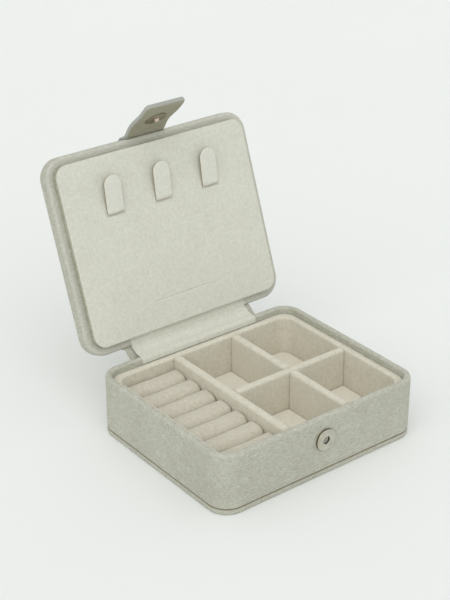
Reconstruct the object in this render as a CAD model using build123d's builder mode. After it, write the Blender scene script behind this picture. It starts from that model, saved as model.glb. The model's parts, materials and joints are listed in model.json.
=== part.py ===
"""Small travel jewellery case: leather-covered box, ring rolls, compartments and a hinged lid.

Millimetres. The origin is the centre of the box's underside. +X is right, +Y is back, +Z is up.
The lid is modelled standing open, which is the rest pose of every joint.
"""
import os
from math import asin, cos, degrees, radians, sin

from build123d import *

os.makedirs("parts", exist_ok=True)

# --- driving dimensions -------------------------------------------------------------------
box_w = 150.0            # outside width, X
box_d = 123.5            # outside depth, Y
rim_z = 40.0             # top of the leather rim above the table
corner_r = 13.0          # upright corners of the box and the lid
base_panel_t = 4.0       # separate bottom panel under the walls

skin_t = 1.1             # leather with its backing
core_t = 2.3             # greyboard wall core
turn_in_t = 0.8          # leather turned over the rim and glued inside
rim_t = skin_t + core_t + turn_in_t
turn_in_z = 26.0         # lower end of the turned-in leather
rim_outer_round = 2.0
rim_inner_round = 1.5
foot_round = 1.0         # lower edge of the wall, beside the groove
panel_round = 1.0        # edges of the bottom panel

lining_t = 4.5           # suede-covered card strips inside the walls
lining_top = 35.8
lining_corner_r = 7.0
suede_round = 1.3        # soft top edges of lining and dividers
floor_board_t = 4.0
floor_pad_t = 2.0
divider_t = 5.3
long_divider_t = 5.5
long_divider_x = -21.25  # centre of the divider between ring rolls and compartments
cross_divider_y = -1.9   # centre of the left-to-right divider
fit_gap = 0.15           # loose fit between pieces pushed together by hand

roll_count = 7
roll_top = 30.2
roll_gap = 0.16          # between neighbouring rolls
roll_section_r = 6.0     # pressed together, the rolls are rounded squares in section
roll_end_round = 4.0

lid_t = 9.9              # rim face to outer face
lid_gap = 0.8            # closed lid above the rim
lid_skin_t = 1.2
lid_board_inset = 2.2    # the lid's board, from its outline
lid_edge_round = 3.0     # outer edge of the lid
lid_inner_round = 1.4    # edge of the lid round its inner face
plinth_inset = 4.75      # raised inner panel, from the lid's outline
plinth_back_inset = 5.35 # the same, on the hinge side
plinth_h = 3.0           # leather-sided card plinth
plinth_skin_t = 0.8
panel_pad_t = 0.8        # suede and foam on the plinth
panel_edge_round = 0.64
open_angle = 110.35      # closed to standing open
hinge_out = 4.55         # hinge line behind the back wall
hinge_down = 0.35        # hinge line below the rim

hook_w = 12.5
hook_len = 25.0
hook_t = 1.6
hook_root = 82.5         # from the lid's hinge edge to the slits
hook_pitch = 36.0
hook_lift = 0.3          # underside of a tongue's root above the panel
hook_tilt = 9.0          # tongues lean off the panel

glue_t = 0.05            # glue between a strip and what it lies on
suede_strip_w = 89.0     # inner hinge strip
suede_strip_t = 0.4
suede_strip_start = 0.1  # its lower end above the lining, and its upper end above the lid
leather_strip_w = 98.0   # outer hinge strip
leather_strip_t = 1.2
leather_strip_low = 18.0 # lower end of its band on the back wall
leather_bend_z = 36.8    # where it leaves the wall
leather_bend_n = 1.6     # where it leaves the lid's side, from the rim face
leather_lid_end = 8.2
strip_clear = 1.0        # each half stops this far short of the hinge line

strap_w = 29.0
strap_t = 3.0            # two leathers back to back
strap_len = 40.5         # bend to tip
strap_tip_r = 3.0
strap_angle = 18.5       # open strap, from square to the lid
strap_closed_angle = 3.8 # the same, snapped shut
strap_tail_len = 26.0    # glued and stitched on the lid's outer face
strap_bend_r = 6.0       # centre line of the bend over the lid's edge
strap_flat_end = 120.8   # from the lid's hinge edge to the start of the bend
strap_joint_clear = 2.3  # bend and flap both stop short of the fold line
snap_at = 23.4           # fold line to the snap's centre

snap_r = 7.0
socket_proud = 1.6
socket_wall_t = 0.5
socket_edge_round = 0.7
socket_hole_r = 2.2
stud_plate_t = 0.8
stud_r = 1.5
stud_len = 1.3
stud_bore_r = 0.7
washer_t = 0.6
washer_r = 6.0

# --- frames and places worked out from the dimensions -----------------------------------------
half_w = box_w / 2
half_d = box_d / 2
lining_in = rim_t + lining_t             # inset of the lining's inner face
inner_w = box_w - 2 * lining_in
inner_d = box_d - 2 * lining_in
floor_z = base_panel_t + floor_board_t
pad_z = floor_z + floor_pad_t
long_left = long_divider_x - long_divider_t / 2
long_right = long_divider_x + long_divider_t / 2
column_w = (inner_w / 2 - long_right - divider_t) / 2
middle_divider_x = long_right + column_w + divider_t / 2

lean = radians(open_angle - 90)
lid_up = Vector(0, sin(lean), cos(lean))      # along the open lid, away from the hinge
lid_in = Vector(0, -cos(lean), sin(lean))     # out of the lid's inner face
hinge_line = Vector(0, half_d + hinge_out, rim_z - hinge_down)
lid_edge = hinge_line + lid_up * hinge_out - lid_in * (lid_gap + hinge_down)
lid_plane = Plane(origin=lid_edge, x_dir=(1, 0, 0), z_dir=lid_in)
lid_axis = Axis(lid_edge, lid_in)
lid_side = Plane(origin=lid_edge, x_dir=lid_in, z_dir=(-1, 0, 0))

strap_inner_n = -lid_t - glue_t
bend_n = strap_inner_n - strap_t / 2 + strap_bend_r       # centre of the strap's bend
turn = radians(90 - strap_angle)
fold_n = bend_n - strap_bend_r * cos(turn)
fold_u = strap_flat_end + strap_bend_r * sin(turn)
fold_line = lid_edge + lid_in * fold_n + lid_up * fold_u
flap_out = lid_in * cos(radians(strap_angle)) + lid_up * sin(radians(strap_angle))
flap_in = lid_in * sin(radians(strap_angle)) - lid_up * cos(radians(strap_angle))
closed = radians(strap_closed_angle)
snap_n = fold_n + snap_at * cos(closed) + (strap_t / 2 + stud_plate_t) * sin(closed)
snap_z = rim_z + lid_gap - snap_n          # where the closed strap puts the stud


def box_outline(inset, mode=Mode.ADD):
    """Rounded outline of the box, inset all round."""
    RectangleRounded(box_w - 2 * inset, box_d - 2 * inset, corner_r - inset, mode=mode)


def lining_outline(mode=Mode.ADD):
    """Outline of the space inside the lining."""
    RectangleRounded(inner_w, inner_d, lining_corner_r, mode=mode)


def lid_outline(inset, mode=Mode.ADD):
    """Rounded outline of the lid, inset all round, in the lid's plane."""
    with Locations((0, half_d)):
        RectangleRounded(box_w - 2 * inset, box_d - 2 * inset, corner_r - inset, mode=mode)


def plinth_outline(inset, mode=Mode.ADD):
    """Outline of the raised inner panel of the lid."""
    depth = box_d - plinth_inset - plinth_back_inset
    with Locations((0, plinth_back_inset + depth / 2)):
        RectangleRounded(
            box_w - 2 * plinth_inset - 2 * inset, depth - 2 * inset,
            corner_r - plinth_inset - inset, mode=mode,
        )


# --- bottom panel -----------------------------------------------------------------------
with BuildPart() as bottom_cover:
    with BuildSketch():
        box_outline(0)
    extrude(amount=base_panel_t)
    rims = bottom_cover.faces().filter_by(Axis.Z).edges()
    fillet(rims, panel_round)
    with BuildSketch(Plane.XY.offset(skin_t)):
        box_outline(skin_t)
    extrude(amount=base_panel_t - skin_t, mode=Mode.SUBTRACT)
bottom_cover.part.label = "bottom_cover"
export_step(bottom_cover.part, "parts/bottom_cover.step")

with BuildPart() as bottom_board:
    with BuildSketch(Plane.XY.offset(skin_t)):
        box_outline(skin_t)
    extrude(amount=base_panel_t - skin_t)
bottom_board.part.label = "bottom_board"
export_step(bottom_board.part, "parts/bottom_board.step")

# --- walls ------------------------------------------------------------------------------
snap_plane = Plane(origin=(0, -half_d, snap_z), x_dir=(1, 0, 0), z_dir=(0, -1, 0))
washer_depth = skin_t + core_t - washer_t     # washer's front face behind the leather surface

with BuildPart() as wall_leather:
    with BuildSketch(Plane.XY.offset(base_panel_t)):
        box_outline(0)
        box_outline(rim_t, mode=Mode.SUBTRACT)
    extrude(amount=rim_z - base_panel_t)
    outer_top = wall_leather.faces().sort_by(Axis.Z)[-1].outer_wire().edges()
    fillet(outer_top, rim_outer_round)
    inner_top = wall_leather.faces().sort_by(Axis.Z)[-1].inner_wires()[0].edges()
    fillet(inner_top, rim_inner_round)
    foot = wall_leather.faces().sort_by(Axis.Z)[0].outer_wire().edges()
    fillet(foot, foot_round)
    with BuildSketch(Plane.XY.offset(base_panel_t)):
        box_outline(skin_t)
        box_outline(rim_t - turn_in_t, mode=Mode.SUBTRACT)
    extrude(amount=rim_z - skin_t - base_panel_t, mode=Mode.SUBTRACT)
    with BuildSketch(Plane.XY.offset(base_panel_t)):
        box_outline(skin_t)
        box_outline(rim_t, mode=Mode.SUBTRACT)
    extrude(amount=turn_in_z - base_panel_t, mode=Mode.SUBTRACT)
    with BuildSketch(snap_plane.offset(-skin_t)):
        Circle(socket_hole_r)
    extrude(amount=skin_t, mode=Mode.SUBTRACT)
wall_leather.part.label = "wall_leather"
export_step(wall_leather.part, "parts/wall_leather.step")

with BuildPart() as wall_core:
    with BuildSketch(Plane.XY.offset(base_panel_t)):
        box_outline(skin_t)
        box_outline(skin_t + core_t, mode=Mode.SUBTRACT)
    extrude(amount=rim_z - skin_t - base_panel_t)
    with BuildSketch(snap_plane.offset(-skin_t - core_t)):
        Circle(socket_hole_r)
    extrude(amount=core_t, mode=Mode.SUBTRACT)
    with BuildSketch(snap_plane.offset(-washer_depth - washer_t)):
        Circle(washer_r)
    extrude(amount=washer_t, mode=Mode.SUBTRACT)
wall_core.part.label = "wall_core"
export_step(wall_core.part, "parts/wall_core.step")

# --- tray inside the walls ---------------------------------------------------------------
with BuildPart() as lining_wall:
    with BuildSketch(Plane.XY.offset(base_panel_t)):
        box_outline(rim_t)
        lining_outline(mode=Mode.SUBTRACT)
    extrude(amount=lining_top - base_panel_t)
    mouth = lining_wall.faces().sort_by(Axis.Z)[-1].inner_wires()[0].edges()
    fillet(mouth, suede_round)
lining_wall.part.label = "lining_wall"
export_step(lining_wall.part, "parts/lining_wall.step")

with BuildPart() as floor_board:
    with BuildSketch(Plane.XY.offset(base_panel_t)):
        lining_outline()
    extrude(amount=floor_board_t)
floor_board.part.label = "floor_board"
export_step(floor_board.part, "parts/floor_board.step")

divider_h = lining_top - floor_z
with BuildPart() as divider_long:
    with BuildSketch(Plane.XY.offset(floor_z)):
        with Locations((long_divider_x, 0)):
            Rectangle(long_divider_t, inner_d)
    extrude(amount=divider_h)
    fillet(divider_long.faces().sort_by(Axis.Z)[-1].edges().filter_by(Axis.Y), suede_round)
divider_long.part.label = "divider_long"
export_step(divider_long.part, "parts/divider_long.step")

with BuildPart() as divider_middle:
    with BuildSketch(Plane.XY.offset(floor_z)):
        with Locations((middle_divider_x, 0)):
            Rectangle(divider_t, inner_d)
    extrude(amount=divider_h)
    fillet(divider_middle.faces().sort_by(Axis.Z)[-1].edges().filter_by(Axis.Y), suede_round)
    with BuildSketch(Plane.XY.offset(floor_z + divider_h / 2)):
        with Locations((middle_divider_x, cross_divider_y)):
            Rectangle(divider_t, divider_t)
    extrude(amount=divider_h / 2, mode=Mode.SUBTRACT)
divider_middle.part.label = "divider_middle"
export_step(divider_middle.part, "parts/divider_middle.step")

cross_left = long_right + 2 * fit_gap
cross_right = inner_w / 2 - fit_gap
with BuildPart() as divider_cross:
    with BuildSketch(Plane.XY.offset(floor_z)):
        with Locations(((cross_left + cross_right) / 2, cross_divider_y)):
            Rectangle(cross_right - cross_left, divider_t - 2 * fit_gap)
    extrude(amount=divider_h)
    fillet(divider_cross.faces().sort_by(Axis.Z)[-1].edges().filter_by(Axis.X), suede_round)
    with BuildSketch(Plane.XY.offset(floor_z)):
        with Locations((middle_divider_x, cross_divider_y)):
            Rectangle(divider_t + 2 * fit_gap, divider_t)
    extrude(amount=divider_h / 2 + fit_gap, mode=Mode.SUBTRACT)
divider_cross.part.label = "divider_cross"
export_step(divider_cross.part, "parts/divider_cross.step")


def compartment_pad(left, right, front, back, name):
    """Suede-covered card laid loose on the floor of one compartment."""
    with BuildPart() as pad:
        with BuildSketch(Plane.XY.offset(floor_z)):
            lining_outline()
            with Locations(((left + right) / 2, (front + back) / 2)):
                Rectangle(right - left, back - front, mode=Mode.INTERSECT)
            offset(amount=-fit_gap)
        extrude(amount=floor_pad_t)
    pad.part.label = name
    export_step(pad.part, f"parts/{name}.step")


columns = {
    "left": (long_right, middle_divider_x - divider_t / 2),
    "right": (middle_divider_x + divider_t / 2, inner_w / 2),
}
rows = {
    "front": (-inner_d / 2, cross_divider_y - divider_t / 2),
    "back": (cross_divider_y + divider_t / 2, inner_d / 2),
}
for row_name, (front, back) in rows.items():
    for column_name, (left, right) in columns.items():
        compartment_pad(left, right, front, back, f"floor_pad_{row_name}_{column_name}")

# --- ring rolls: foam rods in suede, side by side on a card platform --------------------------
roll_pitch = inner_d / roll_count
roll_r = (roll_pitch - roll_gap) / 2
roll_z = roll_top - roll_r
roll_left = -inner_w / 2 + fit_gap
roll_right = long_left - fit_gap

with BuildPart() as ring_bed:
    with BuildSketch(Plane.XY.offset(floor_z)):
        lining_outline()
        with Locations(((roll_left + roll_right) / 2, 0)):
            Rectangle(roll_right - roll_left, inner_d, mode=Mode.INTERSECT)
    extrude(amount=roll_z - roll_r - floor_z)
ring_bed.part.label = "ring_bed"
export_step(ring_bed.part, "parts/ring_bed.step")

for index in range(roll_count):
    roll_y = inner_d / 2 - roll_pitch * (index + 0.5)
    with BuildPart() as ring_roll:
        with BuildSketch(Plane.YZ.offset(roll_left)):
            with Locations((roll_y, roll_z)):
                RectangleRounded(2 * roll_r, 2 * roll_r, roll_section_r)
        extrude(amount=roll_right - roll_left)
        ends = ring_roll.faces().filter_by(Axis.X).edges()
        fillet(ends, roll_end_round)
        with BuildSketch(Plane.XY.offset(floor_z)):
            lining_outline()
            offset(amount=-fit_gap / 2)
        extrude(amount=lining_top - floor_z, mode=Mode.INTERSECT)
    ring_roll.part.label = f"ring_roll_{index + 1}"
    export_step(ring_roll.part, f"parts/ring_roll_{index + 1}.step")

# --- magnetic snap, half on the box --------------------------------------------------------
with BuildPart() as snap_socket:
    with BuildSketch(snap_plane):
        Circle(snap_r)
    extrude(amount=socket_proud)
    fillet(snap_socket.faces().sort_by(Axis.Y)[0].edges(), socket_edge_round)
    with BuildSketch(snap_plane):
        Circle(snap_r - socket_wall_t)
    extrude(amount=socket_proud - socket_wall_t, mode=Mode.SUBTRACT)
    with BuildSketch(snap_plane):
        Circle(socket_hole_r)
    extrude(amount=socket_proud, mode=Mode.SUBTRACT)
snap_socket.part.label = "snap_socket"
export_step(snap_socket.part, "parts/snap_socket.step")

with BuildPart() as snap_magnet:
    with BuildSketch(snap_plane):
        Circle(snap_r - socket_wall_t)
        Circle(socket_hole_r, mode=Mode.SUBTRACT)
    extrude(amount=socket_proud - socket_wall_t)
snap_magnet.part.label = "snap_magnet"
export_step(snap_magnet.part, "parts/snap_magnet.step")

with BuildPart() as snap_washer:
    with BuildSketch(snap_plane.offset(-washer_depth - washer_t)):
        Circle(washer_r)
        Circle(socket_hole_r, mode=Mode.SUBTRACT)
    extrude(amount=washer_t)
snap_washer.part.label = "snap_washer"
export_step(snap_washer.part, "parts/snap_washer.step")

# --- lid --------------------------------------------------------------------------------
with BuildPart() as lid_leather:
    with BuildSketch(lid_plane.offset(-lid_t)):
        lid_outline(0)
    extrude(amount=lid_t)
    fillet(lid_leather.faces().sort_by(lid_axis)[0].edges(), lid_edge_round)
    fillet(lid_leather.faces().sort_by(lid_axis)[-1].edges(), lid_inner_round)
    with BuildSketch(lid_plane.offset(-lid_t + lid_skin_t)):
        lid_outline(lid_board_inset)
    extrude(amount=lid_t - 2 * lid_skin_t, mode=Mode.SUBTRACT)
    with BuildSketch(lid_plane.offset(-lid_skin_t)):
        plinth_outline(0)
    extrude(amount=lid_skin_t, mode=Mode.SUBTRACT)
lid_leather.part.label = "lid_leather"
export_step(lid_leather.part, "parts/lid_leather.step")

with BuildPart() as lid_board:
    with BuildSketch(lid_plane.offset(-lid_t + lid_skin_t)):
        lid_outline(lid_board_inset)
    extrude(amount=lid_t - 2 * lid_skin_t)
lid_board.part.label = "lid_board"
export_step(lid_board.part, "parts/lid_board.step")

with BuildPart() as plinth_board:
    with BuildSketch(lid_plane.offset(-lid_skin_t)):
        plinth_outline(plinth_skin_t)
    extrude(amount=lid_skin_t + plinth_h)
plinth_board.part.label = "plinth_board"
export_step(plinth_board.part, "parts/plinth_board.step")

with BuildPart() as plinth_leather:
    with BuildSketch(lid_plane.offset(-lid_skin_t)):
        plinth_outline(0)
        plinth_outline(plinth_skin_t, mode=Mode.SUBTRACT)
    extrude(amount=lid_skin_t + plinth_h)
plinth_leather.part.label = "plinth_leather"
export_step(plinth_leather.part, "parts/plinth_leather.step")

with BuildPart() as lid_panel:
    with BuildSketch(lid_plane.offset(plinth_h)):
        plinth_outline(0)
    extrude(amount=panel_pad_t)
    fillet(lid_panel.faces().sort_by(lid_axis)[-1].edges(), panel_edge_round)
lid_panel.part.label = "lid_panel"
export_step(lid_panel.part, "parts/lid_panel.step")

# --- necklace hooks: suede tongues rising from slits in the lid's panel -----------------------
hook_height = plinth_h + panel_pad_t + hook_lift      # underside of a tongue at its root
tilt = radians(hook_tilt)
hook_up = lid_up * cos(tilt) + lid_in * sin(tilt)
hook_out = lid_in * cos(tilt) - lid_up * sin(tilt)
hook_names = ["hook_left", "hook_middle", "hook_right"]
for index, hook_name in enumerate(hook_names):
    root = lid_edge + lid_up * hook_root + lid_in * hook_height
    hook_plane = Plane(
        origin=root + Vector((index - 1) * hook_pitch, 0, 0), x_dir=(1, 0, 0), z_dir=hook_out,
    )
    with BuildPart() as hook:
        with BuildSketch(hook_plane):
            with Locations((0, hook_len / 2 - hook_w / 4)):
                Rectangle(hook_w, hook_len - hook_w / 2)
            with Locations((0, hook_len - hook_w / 2)):
                Circle(hook_w / 2)
        extrude(amount=hook_t)
    hook.part.label = hook_name
    export_step(hook.part, f"parts/{hook_name}.step")

# --- hinge: outer leather strip and inner suede strip, each in two halves ----------------------
side_plane = Plane(origin=(0, 0, 0), x_dir=(0, 1, 0), z_dir=(1, 0, 0))
base_hinge = Vector(half_d + hinge_out, rim_z - hinge_down)
lid_hinge = Vector(lid_gap + hinge_down, -hinge_out)

with BuildPart() as hinge_leather_base:
    with BuildSketch(side_plane):
        with BuildLine():
            bend = Vector(half_d + glue_t, leather_bend_z)
            reach = base_hinge - bend
            stop = bend + reach * (1 - strip_clear / reach.length)
            Polyline((half_d + glue_t, leather_strip_low), bend, stop)
            offset(amount=leather_strip_t, side=Side.RIGHT)
        make_face()
    extrude(amount=leather_strip_w / 2, both=True)
hinge_leather_base.part.label = "hinge_leather_base"
export_step(hinge_leather_base.part, "parts/hinge_leather_base.step")

with BuildPart() as hinge_leather_lid:
    with BuildSketch(lid_side):
        with BuildLine():
            bend = Vector(-leather_bend_n, -glue_t)
            reach = lid_hinge - bend
            stop = bend + reach * (1 - strip_clear / reach.length)
            Polyline((-leather_lid_end, -glue_t), bend, stop)
            offset(amount=leather_strip_t, side=Side.RIGHT)
        make_face()
    extrude(amount=leather_strip_w / 2, both=True)
hinge_leather_lid.part.label = "hinge_leather_lid"
export_step(hinge_leather_lid.part, "parts/hinge_leather_lid.step")

rim_inner_y = half_d - rim_t
with BuildPart() as hinge_suede_base:
    with BuildSketch(side_plane):
        with BuildLine():
            FilletPolyline(
                (rim_inner_y - glue_t, lining_top + suede_strip_start),
                (rim_inner_y - glue_t, rim_z + glue_t),
                (half_d - rim_outer_round, rim_z + glue_t),
                radius=rim_inner_round,
            )
            offset(amount=suede_strip_t, side=Side.LEFT)
        make_face()
    extrude(amount=suede_strip_w / 2, both=True)
hinge_suede_base.part.label = "hinge_suede_base"
export_step(hinge_suede_base.part, "parts/hinge_suede_base.step")

with BuildPart() as hinge_suede_lid:
    with BuildSketch(lid_side):
        strip_u = plinth_back_inset - glue_t - suede_strip_t / 2
        with Locations((suede_strip_start + plinth_h / 2, strip_u)):
            Rectangle(plinth_h, suede_strip_t)
    extrude(amount=suede_strip_w / 2, both=True)
hinge_suede_lid.part.label = "hinge_suede_lid"
export_step(hinge_suede_lid.part, "parts/hinge_suede_lid.step")

# --- closure strap: two leathers back to back, glued to the lid's outer face -------------------
with BuildPart() as strap_anchor:
    with BuildSketch(lid_side):
        with BuildLine():
            flat = Line((strap_inner_n, strap_flat_end - strap_tail_len), (strap_inner_n, strap_flat_end))
            JernArc(
                start=flat @ 1, tangent=flat % 1, radius=strap_bend_r - strap_t / 2,
                arc_size=-(90 - strap_angle - degrees(strap_joint_clear / strap_bend_r)),
            )
            offset(amount=strap_t, side=Side.LEFT)
        make_face()
    extrude(amount=strap_w / 2, both=True)
strap_anchor.part.label = "strap_anchor"
export_step(strap_anchor.part, "parts/strap_anchor.step")

flap_plane = Plane(origin=fold_line, x_dir=(1, 0, 0), z_dir=flap_in)
flap_mid = (strap_joint_clear + strap_len) / 2


def flap_leather(low, pocket, name):
    """One leather of the strap, from a height off its middle layer."""
    with BuildPart() as leather:
        with BuildSketch(flap_plane.offset(low)):
            with Locations((0, flap_mid)):
                Rectangle(strap_w, strap_len - strap_joint_clear)
        extrude(amount=strap_t / 2)
        tip = leather.edges().filter_by(Axis(fold_line, flap_in)).sort_by(Axis(fold_line, flap_out))[-2:]
        fillet(tip, strap_tip_r)
        if pocket:
            with BuildSketch(flap_plane.offset(low)):
                with Locations((0, snap_at)):
                    Circle(washer_r)
            extrude(amount=washer_t, mode=Mode.SUBTRACT)
            with BuildSketch(flap_plane.offset(low)):
                with Locations((0, snap_at)):
                    Circle(stud_r)
            extrude(amount=strap_t / 2, mode=Mode.SUBTRACT)
    leather.part.label = name
    export_step(leather.part, f"parts/{name}.step")


flap_leather(-strap_t / 2, False, "strap_outer")
flap_leather(0, True, "strap_lining")

with BuildPart() as stud_washer:
    with BuildSketch(flap_plane):
        with Locations((0, snap_at)):
            Circle(washer_r)
            Circle(stud_bore_r, mode=Mode.SUBTRACT)
    extrude(amount=washer_t)
stud_washer.part.label = "stud_washer"
export_step(stud_washer.part, "parts/stud_washer.step")

with BuildPart() as stud_plate:
    with BuildSketch(flap_plane.offset(strap_t / 2)):
        with Locations((0, snap_at)):
            Circle(snap_r)
            Circle(stud_r, mode=Mode.SUBTRACT)
    extrude(amount=stud_plate_t)
stud_plate.part.label = "stud_plate"
export_step(stud_plate.part, "parts/stud_plate.step")

with BuildPart() as stud_post:
    with BuildSketch(flap_plane.offset(washer_t)):
        with Locations((0, snap_at)):
            Circle(stud_r)
    extrude(amount=strap_t / 2 - washer_t + stud_plate_t + stud_len)
    with BuildSketch(flap_plane.offset(strap_t / 2 + stud_plate_t)):
        with Locations((0, snap_at)):
            Circle(stud_bore_r)
    extrude(amount=stud_len, mode=Mode.SUBTRACT)
stud_post.part.label = "stud_post"
export_step(stud_post.part, "parts/stud_post.step")
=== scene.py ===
# %% [markdown]
# # A small travel jewellery case, dressed in leather and suede
# The case is greyboard wrapped in soft grained leather. Suede lines it. The lid stands open on
# a fabric hinge, and a strap with a snap closes it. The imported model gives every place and
# size, and this script makes the surfaces that the eye meets. It starts by loading that model.
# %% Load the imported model
import json
import math

import bmesh
import bpy
from mathutils import Matrix, Vector, noise


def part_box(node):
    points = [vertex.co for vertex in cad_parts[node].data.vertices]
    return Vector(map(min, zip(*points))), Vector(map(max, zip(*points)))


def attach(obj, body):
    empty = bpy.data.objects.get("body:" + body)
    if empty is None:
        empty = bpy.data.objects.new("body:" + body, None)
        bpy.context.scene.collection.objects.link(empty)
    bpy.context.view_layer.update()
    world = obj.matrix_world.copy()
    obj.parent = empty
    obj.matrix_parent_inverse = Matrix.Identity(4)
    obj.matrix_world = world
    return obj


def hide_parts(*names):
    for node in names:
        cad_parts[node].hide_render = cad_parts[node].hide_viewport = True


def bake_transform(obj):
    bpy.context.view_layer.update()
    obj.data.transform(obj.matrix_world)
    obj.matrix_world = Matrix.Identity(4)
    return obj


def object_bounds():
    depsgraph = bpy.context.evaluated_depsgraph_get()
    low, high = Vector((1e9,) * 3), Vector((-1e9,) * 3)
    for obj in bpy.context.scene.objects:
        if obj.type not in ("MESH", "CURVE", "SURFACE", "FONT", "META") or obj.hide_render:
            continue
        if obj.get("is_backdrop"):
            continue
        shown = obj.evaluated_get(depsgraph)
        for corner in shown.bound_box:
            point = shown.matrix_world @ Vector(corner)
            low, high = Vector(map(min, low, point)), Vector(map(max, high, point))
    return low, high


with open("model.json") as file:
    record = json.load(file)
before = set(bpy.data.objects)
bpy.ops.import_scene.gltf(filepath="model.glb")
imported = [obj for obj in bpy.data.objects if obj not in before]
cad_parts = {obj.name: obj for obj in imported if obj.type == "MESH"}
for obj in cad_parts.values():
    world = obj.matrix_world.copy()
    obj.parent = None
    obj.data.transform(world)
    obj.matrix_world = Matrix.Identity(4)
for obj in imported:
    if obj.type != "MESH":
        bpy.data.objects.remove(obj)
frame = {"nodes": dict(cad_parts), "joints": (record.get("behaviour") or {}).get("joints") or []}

cad_low, cad_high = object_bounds()
print("nodes:", len(frame["nodes"]), "height in mm:", round(1000 * (cad_high.z - cad_low.z), 1))

# %% [markdown]
# ## Frames of reference
# The box stands square to the axes, but the lid leans back and the strap leans off the lid.
# Measuring a leaning part with plain X, Y and Z is awkward. So the lid gets its own three
# directions: across, up the lid, and out of its inner face. They come from the hinge's range.
# %% Directions of the lid and the strap
MM = 0.001
joints = {joint["name"]: joint for joint in frame["joints"]}
hinge = Vector(joints["lid_hinge"]["pos_m"])
fold = Vector(joints["strap_fold"]["pos_m"])
lean = math.radians(joints["lid_hinge"]["range_deg"][1] - 90)
across = Vector((1, 0, 0))
lid_up = Vector((0, math.sin(lean), math.cos(lean)))
lid_in = Vector((0, -math.cos(lean), math.sin(lean)))


def spans(node, origin, *directions):
    """Lowest and highest reach of a node from the origin along each direction, in millimetres."""
    points = [vertex.co - origin for vertex in frame["nodes"][node].data.vertices]
    reach = [[point.dot(way) / MM for point in points] for way in directions]
    return [(min(values), max(values)) for values in reach]


def box_mm(node):
    """A node's lowest and highest corners in millimetres."""
    low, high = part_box(node)
    return low / MM, high / MM


zero = Vector((0, 0, 0))
up_reach, in_reach = spans("lid_leather", zero, lid_up, lid_in)
lid_edge = lid_up * up_reach[0] * MM + lid_in * in_reach[1] * MM
print("lid edge in mm:", [round(value / MM, 2) for value in lid_edge])


def on_box(x, y, z):
    """A point given in millimetres in the box's own frame."""
    return Vector((x, y, z)) * MM


def on_lid(x, up, out):
    """A point of the lid: across, up from the hinge edge and out of its inner face."""
    return lid_edge + (across * x + lid_up * up + lid_in * out) * MM


# %% [markdown]
# ## One way to add a node
# Shader trees and geometry trees are built the same way: make a node, set it, wire it. One
# small function does all three, and short ones on top of it cover the nodes used most.
# Colours are written as the hex values that a screen shows, and shaders need linear light.
# %% Helpers for nodes and colours
def feed(tree, node, links):
    """Sets a node's inputs, by name or index, to values or to other nodes' sockets."""
    for key, value in links.items():
        if isinstance(value, bpy.types.NodeSocket):
            tree.links.new(value, node.inputs[key])
        else:
            node.inputs[key].default_value = value


def add(tree, kind, links=None, **settings):
    """Adds a node with its settings, and feeds its inputs."""
    made = tree.nodes.new(kind)
    for name, value in settings.items():
        setattr(made, name, value)
    feed(tree, made, links or {})
    return made


def maths(tree, operation, *values, **settings):
    """The result of an operation on values and sockets, given in order."""
    links = dict(enumerate(values))
    return add(tree, "ShaderNodeMath", links, operation=operation, **settings).outputs[0]


def speckle(tree, place, scale, detail, roughness=0.5, distortion=0.0, **settings):
    """A noise over a place."""
    links = {"Vector": place, "Scale": scale, "Detail": detail, "Roughness": roughness,
             "Distortion": distortion}
    return add(tree, "ShaderNodeTexNoise", links, **settings).outputs["Fac"]


def spread(tree, value, low, high, to_low=0.0, to_high=1.0):
    """A value moved from one range to another."""
    links = {"Value": value, "From Min": low, "From Max": high, "To Min": to_low,
             "To Max": to_high}
    return add(tree, "ShaderNodeMapRange", links).outputs[0]


def bump(tree, height, strength, distance):
    """A normal disturbed by a height."""
    links = {"Height": height, "Strength": strength, "Distance": distance}
    return add(tree, "ShaderNodeBump", links).outputs[0]


def linear(code):
    """An sRGB hex colour as linear RGBA."""
    parts = [int(code[i:i + 2], 16) / 255 for i in (1, 3, 5)]
    return [v / 12.92 if v <= 0.04045 else ((v + 0.055) / 1.055) ** 2.4 for v in parts] + [1.0]


def start_material(name):
    """A new material, its tree, its main shader and object coordinates."""
    material = bpy.data.materials.new(name)
    material.use_nodes = True
    tree = material.node_tree
    shader = tree.nodes["Principled BSDF"]
    place = add(tree, "ShaderNodeTexCoord").outputs["Object"]
    return material, tree, shader, place


def ramp(tree, value, stops):
    """A colour ramp over a value: each stop is a place from 0 to 1 and a hex colour."""
    made = add(tree, "ShaderNodeValToRGB", {"Fac": value})
    while len(made.color_ramp.elements) < len(stops):
        made.color_ramp.elements.new(0.5)
    for element, (at, code) in zip(made.color_ramp.elements, stops):
        element.position, element.color = at, linear(code)
    return made.outputs["Color"]


# %% [markdown]
# ## Cut edges and painted light
# Where suede or leather is cut, its edge has its own tone. A few pieces carry a number at each
# point, which is 1 where a second tone goes and 0 elsewhere. On the strap and the tongues that
# tone is the cut edge. On the rim, the lid's border and the snap's post it is a painted
# highlight; on the bottom panel's groove, the lid pad's sides and pressed lines and the snap
# cap's sides and hole it is painted shade. A material mixes that tone in by the number, and
# on a piece without it the number reads 0.
# %% Edge tone and painted light
def mix_by_mark(tree, colour, edge_and_light_colour, label="edge_and_light"):
    """A colour with another mixed in by the number stored at each point."""
    edge_and_light = add(tree, "ShaderNodeAttribute", attribute_name=label).outputs["Fac"]
    mixed = add(tree, "ShaderNodeMix", {"Factor": edge_and_light, 6: colour, 7: linear(edge_and_light_colour)},
                data_type="RGBA")
    return mixed.outputs[2]


def mark_edge_and_light(piece, share, label="edge_and_light"):
    """Stores a number from 0 to 1 at each point, from a function of its place and normal."""
    mesh = piece.data
    marks = mesh.attributes.new(label, "FLOAT", "POINT")
    for vertex in mesh.vertices:
        marks.data[vertex.index].value = min(max(share(vertex.co, vertex.normal), 0.0), 1.0)
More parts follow.
